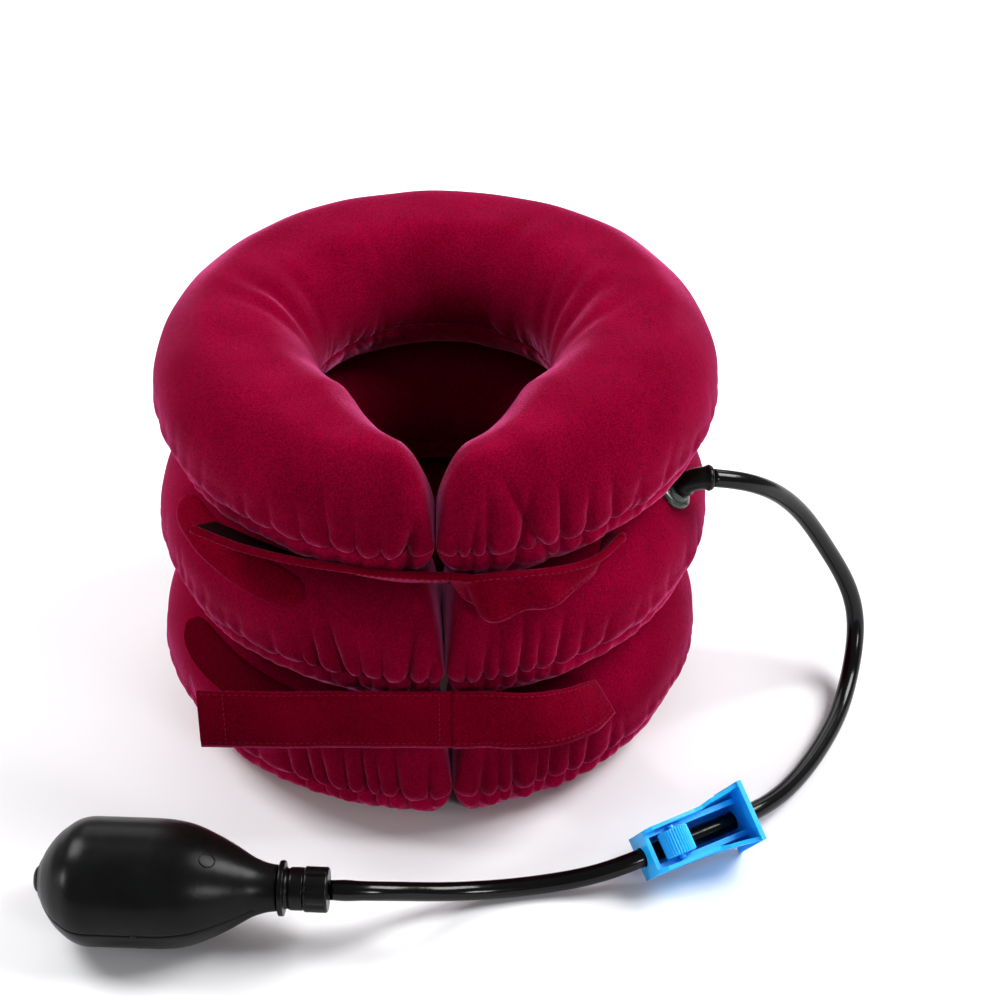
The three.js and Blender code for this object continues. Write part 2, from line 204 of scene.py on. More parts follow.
# ---- Materials ----------------------------------------------------------------------------
class Shader:
    """A procedural material: a Principled shader and the nodes that feed it."""

    def __init__(self, name, roughness=0.5, **sockets):
        self.material = bpy.data.materials.new(name)
        self.material.use_nodes = True
        self.nodes = self.material.node_tree.nodes
        self.links = self.material.node_tree.links
        self.shader = self.nodes["Principled BSDF"]
        self.shader.inputs["Roughness"].default_value = roughness
        for key, value in sockets.items():
            self.shader.inputs[key.replace("_", " ")].default_value = value
        self.where = self.nodes.new("ShaderNodeTexCoord").outputs["Object"]

    def noise(self, scale, detail=2.0, roughness=0.5, stretch=None):
        where = self.where
        if stretch:
            mapping = self.nodes.new("ShaderNodeMapping")
            mapping.inputs["Scale"].default_value = stretch
            self.links.new(where, mapping.inputs["Vector"])
            where = mapping.outputs["Vector"]
        node = self.nodes.new("ShaderNodeTexNoise")
        node.inputs["Scale"].default_value = scale
        node.inputs["Detail"].default_value = detail
        node.inputs["Roughness"].default_value = roughness
        self.links.new(where, node.inputs["Vector"])
        return node.outputs["Fac"]

    def ramp(self, value, stops):
        node = self.nodes.new("ShaderNodeValToRGB")
        ramp = node.color_ramp
        while len(ramp.elements) < len(stops):
            ramp.elements.new(0.5)
        for element, (at, colour) in zip(ramp.elements, stops):
            element.position = at
            element.color = (*colour, 1) if len(colour) == 3 else colour
        self.links.new(value, node.inputs["Fac"])
        return node.outputs["Color"]

    def grey(self, value):
        node = self.nodes.new("ShaderNodeCombineColor")
        for socket in node.inputs:
            self.links.new(value, socket)
        return node.outputs["Color"]

    def mix(self, share, a, b, blend="MIX"):
        node = self.nodes.new("ShaderNodeMix")
        node.data_type = "RGBA"
        node.blend_type = blend
        for socket, value in ((node.inputs[0], share), (node.inputs[6], a), (node.inputs[7], b)):
            if isinstance(value, (int, float)):
                socket.default_value = value
            elif isinstance(value, tuple):
                socket.default_value = (*value, 1)
            else:
                self.links.new(value, socket)
        return node.outputs[2]

    def spread(self, value, low, high, span=(0.0, 1.0)):
        node = self.nodes.new("ShaderNodeMapRange")
        node.inputs["From Min"].default_value, node.inputs["From Max"].default_value = span
        node.inputs["To Min"].default_value = low
        node.inputs["To Max"].default_value = high
        self.links.new(value, node.inputs["Value"])
        return node.outputs["Result"]

    def feed(self, socket, value):
        self.links.new(value, self.shader.inputs[socket])

    def bump(self, height, strength, distance):
        node = self.nodes.new("ShaderNodeBump")
        node.inputs["Strength"].default_value = strength
        node.inputs["Distance"].default_value = distance
        self.links.new(height, node.inputs["Height"])
        previous = self.shader.inputs["Normal"].links
        if previous:
            self.links.new(previous[0].from_socket, node.inputs["Normal"])
        self.links.new(node.outputs["Normal"], self.shader.inputs["Normal"])


def velvet(name, deep, mid, light, sheen, tint):
    """A short pile: soft clouds in colour, speckle from its nap, and sheen at grazing angles."""
    s = Shader(name, 0.9, Sheen_Weight=sheen, Sheen_Roughness=0.28, Sheen_Tint=(*tint, 1))
    s.shader.inputs["Specular IOR Level"].default_value = 0.0
    cloud = s.noise(34, 4, 0.6)
    nap = s.noise(1500, 3, 0.7)
    pile = s.noise(3200, 1, 0.5)
    body = s.ramp(cloud, [(0.32, deep), (0.5, mid), (0.68, light)])
    speck = s.spread(nap, 0.62, 1.38, (0.36, 0.64))
    s.feed("Base Color", s.mix(1.0, body, s.grey(speck), "MULTIPLY"))
    s.feed("Roughness", s.spread(cloud, 0.82, 0.96))
    s.bump(cloud, 0.1, 0.003)
    s.bump(nap, 0.4, 0.0005)
    s.bump(pile, 0.3, 0.0003)
    return s.material


def moulded(name, low, high, roughness=(0.3, 0.45), scale=300.0, bump=0.15, **sockets):
    """A moulded plastic or rubber: faint clouds in colour and gloss, and a fine grain."""
    s = Shader(name, 0.4, **sockets)
    cloud = s.noise(60, 3, 0.6)
    grain = s.noise(scale * 6, 2, 0.6)
    s.feed("Base Color", s.ramp(cloud, [(0.3, low), (0.7, high)]))
    s.feed("Roughness", s.spread(s.noise(scale, 3, 0.6), *roughness))
    s.bump(cloud, 0.12, 0.002)
    s.bump(grain, bump, 0.0002)
    return s.material


VELVET = velvet(
    "velvet", (0.148, 0.0005, 0.015), (0.168, 0.0008, 0.019), (0.190, 0.0011, 0.023), 0.9,
    (1.0, 0.20, 0.52),
)
UNDER_VELVET_PAINTED_LIGHT = velvet(  # a paler copy of the velvet for the lower panels: painted light standing in for the light the white floor throws up under them
    "under_velvet_painted_light", (0.19, 0.0010, 0.022), (0.24, 0.0015, 0.030), (0.29, 0.0022, 0.039), 0.9,
    (1.0, 0.22, 0.54),
)
STRAP_VELVET = velvet(
    "strap_velvet", (0.120, 0.0003, 0.009), (0.140, 0.0004, 0.011), (0.160, 0.0006, 0.014), 0.45,
    (1.0, 0.16, 0.42),
)
BAND_TAPE = velvet(
    "band_tape", (0.10, 0.0006, 0.012), (0.14, 0.0008, 0.016), (0.18, 0.001, 0.02), 0.2,
    (1.0, 0.2, 0.4),
)


def tape(name, dark, light, scale, depth, specular):
    """Hook or loop tape: dull, with a coarse stiff pile."""
    s = Shader(name, 0.85)
    s.shader.inputs["Specular IOR Level"].default_value = specular
    pile = s.noise(scale, 4, 0.75)
    s.feed("Base Color", s.ramp(pile, [(0.35, dark), (0.7, light)]))
    s.bump(pile, 0.8, depth)
    return s.material


HOOK_TAPE = tape("hook_tape", (0.006, 0.0012, 0.0015), (0.030, 0.003, 0.005), 1500, 0.0008, 0.03)
LOOP_TAPE = tape("loop_tape", (0.060, 0.0004, 0.0045), (0.110, 0.0010, 0.0100), 1100, 0.0008, 0.0)
THREAD = moulded(
    "thread", (0.15, 0.0010, 0.018), (0.22, 0.003, 0.035), (0.7, 0.8), 900, Specular_IOR_Level=0.1
)
BULB_RUBBER = moulded(
    "bulb_rubber", (0.0035, 0.0036, 0.0036), (0.0065, 0.0068, 0.0068), (0.26, 0.34), 240, 0.04,
    Specular_IOR_Level=0.15,
)
BLACK_PLASTIC = moulded(
    "black_plastic", (0.0015, 0.0015, 0.0015), (0.004, 0.004, 0.004), (0.22, 0.36),
    Specular_IOR_Level=0.22,
)
HOSE_PVC = moulded(
    "hose_pvc", (0.001, 0.001, 0.001), (0.003, 0.003, 0.003), (0.13, 0.20), 200, 0.03,
    Specular_IOR_Level=0.3,
)
BLUE_PLASTIC = moulded(
    "blue_plastic", (0.010, 0.42, 0.96), (0.015, 0.48, 1.0), (0.26, 0.36), 260, 0.06,
    Subsurface_Weight=0.12, Subsurface_Radius=(0.001, 0.002, 0.004), Subsurface_Scale=1.0,
)
PORT_RUBBER = moulded("port_rubber", (0.10, 0.10, 0.095), (0.16, 0.16, 0.15), (0.4, 0.55))
VALVE_RUBBER = moulded("valve_rubber", (0.05, 0.03, 0.02), (0.08, 0.05, 0.035), (0.5, 0.6))
CLEAR_PVC = moulded(
    "clear_pvc", (0.10, 0.13, 0.115), (0.17, 0.21, 0.19), (0.10, 0.2), 200, 0.05,
    Transmission_Weight=0.6,
)

# ---- Hose ---------------------------------------------------------------------------------
pump_yaw, clamp_yaw = PUMP_YAW * RAD, CLAMP_YAW * RAD


def pump_axis(s):
    """The point s along the pump from the bulb's tail."""
    return (PUMP_X + s * math.cos(pump_yaw), PUMP_Y + s * math.sin(pump_yaw), BULB_RADIUS)


def through_clamp(s):
    """The point s along the clamp's channel from its middle."""
    return (CLAMP_X + s * math.cos(clamp_yaw), CLAMP_Y + s * math.sin(clamp_yaw), CLAMP_Z)


HOSE_COURSE = [  # the route of part.mjs
    *(pump_axis(s) for s in (113.3, 119, 126)),
    (-8, -163.5, 19),
    (5, -156.8, 11.5),
    (20, -151.5, 6.6),
    (38, -147.6, 4.4),
    (56, -144.8, 5),
    (70.5, -144.2, 8.2),
    *(through_clamp(s) for s in (-6, 2, 26, 43, 51.5)),
    (146.5, -100.5, 8.6),
    (160.5, -79, 4.8),
    (172.2, -57.4, 4.3),
    (180.3, -38.4, 4.6),
    (184.8, -24, 8.8),
    (187.8, -13, 18.5),
    (187.6, -7.5, 31),
    (182, -5.2, 47),
    (173, -6, 63.5),
    (161.5, -10.4, 85),
    (150.5, -17.5, 101.5),
    (138.8, -26.5, 114.5),
    (129, -32, 121.4),
    (122.5, -34, 123.8),
    (117.4, -35.2, 124.8),
]
EASING_PASSES = 40
hose_path = evenly(catmull(HOSE_COURSE), 2.0)
for _ in range(EASING_PASSES):
    hose_path[1:-1] += ((hose_path[:-2] + hose_path[2:]) / 2 - hose_path[1:-1]) * 0.5
hose_length = float(np.linalg.norm(np.diff(hose_path, axis=0), axis=1).sum())
hose_along = np.linspace(0, hose_length, len(hose_path))
# It swells a little where it is pushed over the barb.
hose_radii = HOSE_RADIUS + 0.35 * np.exp(-(((hose_along - 6) / 4.5) ** 2))
hose = loft("hose", tube_rings(hose_path, hose_radii, 28), HOSE_PVC)
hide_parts("air_hose")
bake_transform(hose)


# ---- Tiers --------------------------------------------------------------------------------
TAPER_EXPONENT = 1.25
END_WIDTH, PUFFED_WIDTH = 0.86, 0.14  # shares of the width left at an arm's end, and gained
THINNEST_END = 0.03  # share of the height left at the very end
CROWN_EDGE = 2.2  # over this height the section bends into the flat crown
SLOPE_FROM, SLOPE_SPAN = 70 * RAD, 60 * RAD


def from_slit(phi):
    """The angle from the slit, whichever way is shorter."""
    return np.minimum(phi, FULL_TURN - phi)


def tier_surface(tier, phi, psi):
    """The smooth outside of a tier: phi goes round the neck from the slit, psi round the tube."""
    phi, psi = np.broadcast_arrays(phi, psi)
    from_end = (from_slit(phi) - FIRST) * CENTRE_FRONT
    share = np.clip(from_end / END_LENGTH[tier], 0, 1)
    puff = np.maximum(THINNEST_END, np.sqrt(1 - (1 - share) ** 2))
    taper = np.clip(1 - from_end / NARROW_LENGTH, 0, 1) ** TAPER_EXPONENT
    narrow = NARROW_BY[tier] * taper
    wide = TUBE_RADIAL * (END_WIDTH + PUFFED_WIDTH * puff) - narrow / 2
    tall, flat = TUBE_UPRIGHT * puff, CROWN * puff
    # Towards the slit the upper tier slopes down on the neck's side.
    slope = np.clip((psi - SLOPE_FROM) / SLOPE_SPAN, 0, 1)
    rise = tall * np.sin(psi) * (1 - SLOPE[tier] * taper * slope * (np.sin(psi) > 0))
    edge = CROWN_EDGE * puff
    over = np.abs(rise) - (flat - edge)
    pressed = (flat - edge) + edge * np.tanh(np.maximum(over, 0) / (edge + 1e-6))
    rise = np.where(over > 0, np.sign(rise) * pressed, rise)
    out = narrow / 2 + wide * np.cos(psi)
    z = tier * PITCH + CROWN - SEAM_DROP * (1 - puff) + rise
    depth = np.where(np.cos(phi) > 0, CENTRE_FRONT, CENTRE_BACK)
    x = (CENTRE_X + out) * np.sin(phi)
    y = -(depth + out) * np.cos(phi)
    c, s = math.cos(TWIST[tier] * RAD), math.sin(TWIST[tier] * RAD)
    return np.stack([x * c - y * s + LEAN[tier], x * s + y * c, z], -1)


# Each fold: degrees from the slit, half width, length up from the seam, depth (mm), slant.
FRONT_FOLDS = (
    (  # lower tier
        (5.5, 2.2, 26, 2.6, 0.1), (9.5, 1.9, 30, 2.0, 0.0), (12.8, 2.4, 34, 2.9, 0.0),
        (17.5, 1.8, 26, 1.9, 0.1), (20.5, 2.2, 32, 2.5, 0.1), (25.0, 2.0, 24, 1.8, 0.1),
        (29.0, 2.4, 28, 2.2, 0.2), (35.0, 2.2, 20, 1.4, 0.2), (-5.0, 2.2, 24, 2.4, 0.0),
        (-11.0, 2.4, 34, 3.0, -0.1), (-15.0, 1.8, 30, 2.2, -0.1), (-18.0, 2.2, 36, 3.0, -0.1),
        (-22.0, 2.0, 30, 2.3, -0.1), (-26.0, 1.9, 26, 2.0, -0.2), (-29.5, 2.2, 30, 2.3, -0.2),
        (-34.0, 2.0, 22, 1.6, -0.2),
    ),
    (  # middle tier
        (4.0, 1.9, 18, 1.8, 0.0), (7.5, 2.2, 26, 2.4, 0.1), (11.0, 2.0, 28, 2.2, 0.0),
        (15.0, 2.4, 30, 2.8, 0.1), (18.5, 1.9, 22, 2.0, 0.1), (22.5, 2.2, 24, 2.2, 0.2),
        (27.5, 2.0, 18, 1.4, 0.2), (33.0, 2.2, 16, 1.2, 0.3), (-3.6, 2.0, 26, 2.4, 0.2),
        (-7.5, 2.4, 32, 3.2, 0.1), (-12.5, 2.0, 24, 1.7, 0.0), (-16.5, 1.9, 20, 1.8, -0.1),
        (-20.0, 2.6, 34, 3.0, -0.3), (-25.5, 2.4, 26, 2.4, -0.2), (-29.0, 2.0, 16, 1.4, -0.1),
        (-35.0, 2.2, 14, 1.0, -0.2),
    ),
    (  # upper tier
        (4.2, 2.0, 16, 1.8, 0.0), (6.8, 1.8, 20, 2.2, 0.1), (10.2, 2.2, 26, 2.8, 0.0),
        (16.0, 2.3, 24, 3.0, 0.2), (20.8, 2.2, 30, 2.6, -0.4), (25.0, 2.1, 24, 2.6, 0.0),
        (30.2, 2.2, 20, 2.2, 0.1), (36.5, 2.2, 22, 1.8, 0.0), (-5.6, 2.8, 20, 4.2, 0.2),
        (-10.5, 2.0, 16, 1.5, 0.0), (-15.5, 2.2, 24, 1.6, 0.0), (-20.5, 2.4, 26, 1.7, -0.1),
        (-26.5, 2.2, 18, 1.3, -0.1), (-33.0, 2.4, 18, 1.2, -0.1), (-39.0, 2.2, 14, 0.9, -0.1),
    ),
)
FOLD_WIDER, FOLD_LONGER, FOLD_DEEPER = 0.78, 1.3, 1.75  # what the front folds are scaled by
FOLD_SEED = 40
SEEDED_FROM, SEEDED_TO = 40.0, 320  # degrees round the neck where the seeded folds lie


def all_folds(tier):
    """The front folds and smaller seeded ones all the way round, as arc along the outer seam."""
    folds = [
        (
            math.radians(angle) % FULL_TURN * OUTER_RADIUS,
            width * FOLD_WIDER,
            length * FOLD_LONGER,
            depth * FOLD_DEEPER,
            slant,
        )
        for angle, width, length, depth, slant in FRONT_FOLDS[tier]
    ]
    random = np.random.default_rng(FOLD_SEED + tier)
    angle = SEEDED_FROM
    while angle < SEEDED_TO:
        side = 1 if angle < 180 else -1
        at = math.radians(angle) * OUTER_RADIUS
        width, length = random.uniform(1.1, 2.0), random.uniform(9, 26)
        depth, slant = random.uniform(0.5, 1.7), side * random.uniform(-0.1, 0.7)
        folds.append((at, width, length, depth, slant))
        angle += random.uniform(3.2, 7.5)
    return folds


def fold_depth(arc, away, folds):
    """How far the folds pull a point in, arc along the seam and away from it."""
    out = np.zeros(np.broadcast(arc, away).shape)
    for at, width, length, depth, slant in folds:
        reach = np.clip(1 - away / length, 0, 1)
        w = width * (0.75 + 0.9 * away / length)
        x = (arc - at - slant * away) / w
        near = np.abs(x) < 5
        if near.any():
            out -= near * depth * reach**0.8 * np.exp(-(np.abs(x) ** 1.2))
    return out


# Soft wrinkles away from the seams: phi, psi (degrees), angle of the crease on the surface
# (0 = round the neck), length, half width and depth in mm.
SOFT_WRINKLES = (
    [],
    [(300, 40, 35, 26, 3.5, 1.0), (60, 45, -30, 24, 3.5, 0.8)],
    [
        (259.6, 116, 62, 26, 4.2, 1.6),
        (268, 108, 58, 22, 3.8, 1.3),
        (246, 130, 70, 20, 3.6, 1.0),
        (95, 136, -58, 24, 4.0, 1.5),
        (108, 140, -66, 22, 3.6, 1.2),
        (84, 118, -50, 20, 3.6, 1.0),
        (120, 148, -70, 18, 3.4, 0.9),
        (345, 60, 80, 22, 5.0, 0.9),
        (18, 64, -78, 20, 5.0, 0.8),
        (150, 120, 88, 16, 4.0, 0.6),
        (205, 124, 88, 16, 4.0, 0.6),
    ],
)


FRONT_SPREAD = 0.75  # radians from the slit over which the front's finer folds fade
SEAM_DEPTH, INNER_SEAM_DEPTH = 2.8, 1.6
SEAM_FADE_TOP, SEAM_FADE_BOTTOM, INNER_SEAM_FADE = 0.9, 2.4, 1.5
SWELL, SWELL_AT, SWELL_WIDTH = 0.9, 6.5, 3.4  # the fabric swells beside the seam
PROUDEST = 1.1  # the covers bulge no further than about this
BROAD_WAVES = ((0.5, 5, 2, 0.3), (0.4, 9, -3, 1.9), (0.3, 14, 4, 4.0), (0.22, 21, -5, 2.2))
FLOOR_GAP = 0.15


def tier_points(tier, phi, psi):
    """The outside of a tier with its seams, folds and wrinkles."""
    phi, psi = phi[:, None], psi[None, :]
    step = 1e-3
    base = tier_surface(tier, phi, psi)
    along = tier_surface(tier, phi + step, psi) - tier_surface(tier, phi - step, psi)
    across = tier_surface(tier, phi, psi + step) - tier_surface(tier, phi, psi - step)
    normal = unit(np.cross(along, across))
    arc = phi * OUTER_RADIUS
    signed = (psi - OUTER_SEAM * RAD) * (TUBE_RADIAL + TUBE_UPRIGHT) / 2
    around = 2 * math.pi * (TUBE_RADIAL + TUBE_UPRIGHT) / 2
    inner_at = (INNER_SEAM - OUTER_SEAM) * RAD * (TUBE_RADIAL + TUBE_UPRIGHT) / 2
    away = np.minimum(np.abs(signed), np.abs(signed + around))
    inner_away = np.minimum(np.abs(signed - inner_at), np.abs(signed - inner_at + around))
    top = (psi > OUTER_SEAM * RAD) & (psi < INNER_SEAM * RAD)
    front = np.exp(-((from_slit(phi) / FRONT_SPREAD) ** 2))

    # Folds that start at the seams, shorter under the outer seam and shallow at the inner one.
    folds = all_folds(tier)
    lower_folds = [(at + 1.6, w * 1.1, l * 0.62, d * 0.8, -k) for at, w, l, d, k in folds]
    puckers = np.where(top, fold_depth(arc, away, folds), fold_depth(arc, away, lower_folds))
    inner_folds = [
        ((at / OUTER_RADIUS) * INNER_RADIUS, w * 0.9, l * 0.8, min(d, 1.5) * 0.8, k)
        for at, w, l, d, k in folds
    ]
    inner = fold_depth(phi * INNER_RADIUS, inner_away, inner_folds)
    push = puckers * (0.35 + 0.65 * np.minimum(away / 1.6, 1)) + inner

    # The seams' grooves, and the swelling and gathers beside them.
    fade = np.where(top, SEAM_FADE_TOP, SEAM_FADE_BOTTOM)
    push += -SEAM_DEPTH * np.exp(-away / fade) - INNER_SEAM_DEPTH * np.exp(
        -inner_away / INNER_SEAM_FADE
    )
    push += SWELL * np.exp(-(((away - SWELL_AT) / SWELL_WIDTH) ** 2))
    gathers = 0.9 * noise_line(arc + 0.3 * away, 3.6, 27 + tier) * np.exp(-(((away - 4) / 5) ** 2))
    push += np.where(top, 0.25, 1.0) * gathers * (0.3 + 0.7 * front)
    push += sum(a * np.sin(p * phi + q * psi + r) for a, p, q, r in BROAD_WAVES) * 0.4
    push = np.where(push > PROUDEST, PROUDEST + 0.3 * np.tanh(push - PROUDEST), push)

    for a, b, angle, length, width, depth in SOFT_WRINKLES[tier]:
        u = (phi - a * RAD) * CENTRE_X * (1 + 0.3 * math.cos(b * RAD))
        v = (psi - b * RAD) * TUBE_RADIAL
        c, s = math.cos(angle * RAD), math.sin(angle * RAD)
        lengthways, sideways = (u * c + v * s) / length, (v * c - u * s) / width
        bell = np.exp(-(lengthways**2) * 1.5)
        ridge = 0.55 * np.exp(-(((sideways - 1.5) / 1.2) ** 2))
        push += depth * bell * (ridge - np.exp(-(sideways**2)))

    # Where tiers press on each other nothing stands proud.
    crown = np.clip((np.abs(np.sin(psi)) - 0.80) / 0.12, 0, 1)
    pressed = np.where(np.sin(psi) > 0, crown if tier < 2 else 0 * crown, crown)
    push = push * (1 - pressed) + np.minimum(push, 0) * pressed * 0.3 - 0.3 * pressed
    closing = np.clip((from_slit(phi) - FIRST) * CENTRE_FRONT / 6, 0, 1)
    points = base + normal * (push * (0.15 + 0.85 * closing))[..., None]

    # The seam itself runs a little up and down.
    fine, broad = noise_line(arc, 4.2, 7 + tier), noise_line(arc, 16, 17 + tier)
    wave = (0.25 + 0.35 * front) * fine + 0.9 * broad
    wave = wave - 0.26 * fold_depth(arc, 0 * away, folds)
    points[..., 2] += wave * np.exp(-away / 9) * closing
    points[..., 2] = np.maximum(points[..., 2], FLOOR_GAP if tier == 0 else -1e9)
    return points


def columns(n):
    """Angles round the neck, closer together at the front and at the very ends."""
    t = np.linspace(0, 1, 4001)
    phi = FIRST + t * 2 * (math.pi - FIRST)
    near = from_slit(phi)
    density = 1 + 2.6 * np.exp(-((near / FRONT_SPREAD) ** 2)) + 6 * np.exp(-near / 0.02)
    total = np.concatenate([[0], np.cumsum((density[1:] + density[:-1]) / 2)])
    return np.interp(np.linspace(0, total[-1], n), total, phi)


def section_rows(low, high, n):
    """Section angles, closer together at both seams."""
    t = np.linspace(0, 1, n)
    ease = t - 0.55 * np.sin(2 * math.pi * t) / (2 * math.pi)
    return (low + (high - low) * ease) * RAD


def flatten(piece):
    """Gives a piece its own copy of its mesh."""
    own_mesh(piece)


COLUMNS = columns(480)
TOP_ROWS, BOTTOM_ROWS = 76, 46
for tier, (name, body) in enumerate(zip(TIER_NAMES, TIER_BODIES)):
    for part, low, high, rows in (
        ("top", OUTER_SEAM, INNER_SEAM, TOP_ROWS),
        ("bottom", INNER_SEAM - 360, OUTER_SEAM, BOTTOM_ROWS),
    ):
        skin = tier_points(tier, COLUMNS, section_rows(low, high, rows))
        if part == "bottom":  # the panels meet just inside each other's edge
            skin[:, 0, 2] -= 0.02
            skin[:, -1, 2] -= 0.02
        inside = [skin[:, -1] * (1 - t) + skin[:, 0] * t for t in (0.2, 0.4, 0.6, 0.8)]
        # The bottom panels take the paler velvet copy, painted light for the light bounced up from
        # the floor.
        material = VELVET if part == "top" else UNDER_VELVET_PAINTED_LIGHT
        rings = np.concatenate([skin, np.stack(inside, 1)], 1)
        cover = loft(f"{name}_{part}_cover", rings, material)
        nodes = [f"{name}_{part}_panel"] + ([f"{name}_bladder"] if part == "top" else [])
        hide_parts(*nodes)
        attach(cover, body)
        flatten(cover)


# ---- Small soft pieces between and on the tiers --------------------------------------------
def loop_patch(tier, name):
    """A sewn loop patch with rounded corners that follows the fabric under it."""
    thick, material = (1.25, LOOP_TAPE) if tier == 0 else (0.6, STRAP_VELVET)
    sag = 0.6  # how far its underside sinks into the pile
    middle, half_height, least = 40 * RAD, 14, 2.2 * RAD
    t = np.linspace(-1, 1, 34)
    halves = np.maximum(half_height * (1 - np.abs(t) ** 5) ** 0.35 * RAD, least)
    across = np.linspace(-1, 1, 15)
    rings = []
    for phi, h in zip(np.radians(np.linspace(285, 330, 34)), halves):
        psi = middle + across * h
        skin = tier_points(tier, np.array([phi]), psi)[0]
        lift = unit(tier_points(tier, np.array([phi + 0.01]), psi)[0] - skin)
        up = unit(np.cross(np.gradient(skin, axis=0), lift))
        up *= np.sign(up[:, 2:3])
        height = thick - 0.5 * np.abs(across) ** 6
        rings.append(np.vstack([skin + up * height[:, None], (skin - up * sag)[::-1]]))
    return loft(name, rings, material)


for tier, (name, body) in enumerate((("lower", "collar_base"), ("upper", "middle_tier"))):
    patch = loop_patch(tier, f"{name}_loop_cloth")
    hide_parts(f"{name}_loop_patch")
    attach(patch, body)
    flatten(patch)


def ring_point(phi, out, z, lean):
    """A point out from the middle line of a tier, phi round from the slit."""
    depth = CENTRE_FRONT if math.cos(phi) > 0 else CENTRE_BACK
    return ((CENTRE_X + out) * math.sin(phi) + lean, -(depth + out) * math.cos(phi), z)


BAND_SECTION = (  # out from the middle line, and up
    (-6, 0.1), (-3, 0), (3, 0), (6, 0.1), (6, 0.9), (3, 1), (-3, 1), (-6, 0.9)
)


def join_band(name, z, start, end, lean):
    """The woven band that joins two tiers, a little wavy along its edges."""
    rings = []
    for phi in np.radians(np.linspace(start, end, 60)):
        wave = 0.4 * float(noise_line(phi * 30, 1.3, 5))
        row = [(out + wave if abs(out) == 6 else out, z + up) for out, up in BAND_SECTION]
        rings.append([ring_point(phi, out, h, lean) for out, h in row])
    return loft(name, rings, BAND_TAPE)


for tier, (name, body) in enumerate((("lower", "middle_tier"), ("upper", "upper_tier"))):
    height = tier * PITCH + 2 * CROWN + 0.3
    lean = (LEAN[tier] + LEAN[tier + 1]) / 2
    for side, start, end in (("right", 58, 168), ("left", 192, 302)):
        band = join_band(f"{name}_band_{side}", height, start, end, lean)
        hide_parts(f"{name}_join_band_{side}")
        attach(band, body)


# ---- Straps -------------------------------------------------------------------------------
STRAP_COLUMNS = 17
HEM_AT, HEM_WIDTH, HEM_DEPTH = 2.4, 0.7, 0.32  # the groove that the stitches lie in
PIPE_AT, PIPE_HALF = 1.3, 1.6


def facing(grid):
    """Unit directions square to a grid of points."""
    return unit(np.cross(unit(np.gradient(grid, axis=0)), unit(np.gradient(grid, axis=1))))


def strap(name, pairs, front, back, shape, piping):
    """A strap between its rim and its second edge: (object, outer face, directions out, area).
    shape(t, v) gives how far it bellies out, t along it and v from rim to edge."""
    rims = catmull([p[0] for p in pairs], 10)
    edges = catmull([p[1] for p in pairs], 10)
    n, across = len(rims), STRAP_COLUMNS
    t, v = np.linspace(0, 1, n), np.linspace(0, 1, across) ** 1.25
    grid = rims[:, None] * (1 - v[None, :, None]) + edges[:, None] * v[None, :, None]
    grid = grid - facing(grid) * shape(t[:, None], v[None, :])[..., None]
    off = facing(grid)
    half = STRAP_THICK / 2 * (1 - 0.55 * np.abs(2 * v - 1) ** 12)
    width = np.linalg.norm(edges - rims, axis=1)[:, None]
    rim_gap = np.minimum(v, 1 - v) * width
    groove = HEM_DEPTH * np.exp(-(((rim_gap - HEM_AT) / HEM_WIDTH) ** 2))
    pipe = piping * np.sqrt(np.clip(1 - ((v * width - PIPE_AT) / PIPE_HALF) ** 2, 0, 1))
    outer = grid - off * (half[None, :] - groove + pipe)[..., None]
    inner = grid + off * (half[None, :] + pipe)[..., None]
    obj = loft(name, np.concatenate([outer, inner[:, ::-1]], 1), front)
    obj.data.materials.append(back)
    hem = 5 if piping else 1
    for face in obj.data.polygons[: (n - 1) * 2 * across]:
        column = face.index % (2 * across)
        face.material_index = 1 if across <= column < 2 * across - hem else 0
    centre = to_frame(grid.reshape(-1, 3)).reshape(n, across, 3)
    corner = centre[:-1, :-1]
    pieces = np.cross(centre[1:, :-1] - corner, centre[:-1, 1:] - corner)
    return obj, outer, -off, float(np.linalg.norm(pieces, axis=2).sum())


STITCH_GAP, STITCH_LENGTH, STITCH_RADIUS, STITCH_LIFT = 2.7, 1.8, 0.26, 0.06
STITCH_SIDES = 6
STITCH_RINGS = ((-0.5, 0.25), (-0.3, 0.95), (0.3, 0.95), (0.5, 0.25))  # share along, thickness


def stitch_row(points, out):
    """Small thread loops along a line: lists of points and faces."""
    line = evenly(np.asarray(points, float), 0.25)
    pick = np.linspace(0, 1, len(points))
    at = np.linspace(0, 1, len(line))
    outs = unit(np.stack([np.interp(at, pick, np.asarray(out)[:, k]) for k in range(3)], 1))
    along = np.arange(len(line)) * np.linalg.norm(line[1] - line[0])
    pts, faces, sides = [], [], STITCH_SIDES
    for start in np.arange(STITCH_GAP * 0.4, along[-1] - STITCH_LENGTH, STITCH_GAP):
        i = int(np.searchsorted(along, start + STITCH_LENGTH / 2))
        direction = unit(line[min(i + 2, len(line) - 1)] - line[max(i - 2, 0)])
        side = unit(np.cross(direction, outs[i]))
        base = len(pts)
        for share, thick in STITCH_RINGS:
            for k in range(sides):
                turn = k / sides * 2 * math.pi
                pts.append(
                    line[i]
                    + direction * share * STITCH_LENGTH
                    + outs[i] * (STITCH_LIFT + STITCH_RADIUS * thick * math.cos(turn))
                    + side * STITCH_RADIUS * thick * math.sin(turn)
                )
        for ring in range(3):
            for k in range(sides):
                a, b = base + ring * sides + k, base + ring * sides + (k + 1) % sides
                faces.append([a, b, b + sides, a + sides])
        faces.append([base + k for k in range(sides - 1, -1, -1)])
        faces.append([base + 3 * sides + k for k in range(sides)])
    return pts, faces


def stitches(name, rows, body):
    """One piece of thread work from rows of (points, directions out)."""
    points, faces = [], []
    for row, out in rows:
        p, f = stitch_row(row, out)
        faces += [[i + len(points) for i in face] for face in f]
        points += p
    obj = mesh_object(name, points, faces, THREAD)
    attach(obj, body)
    return obj


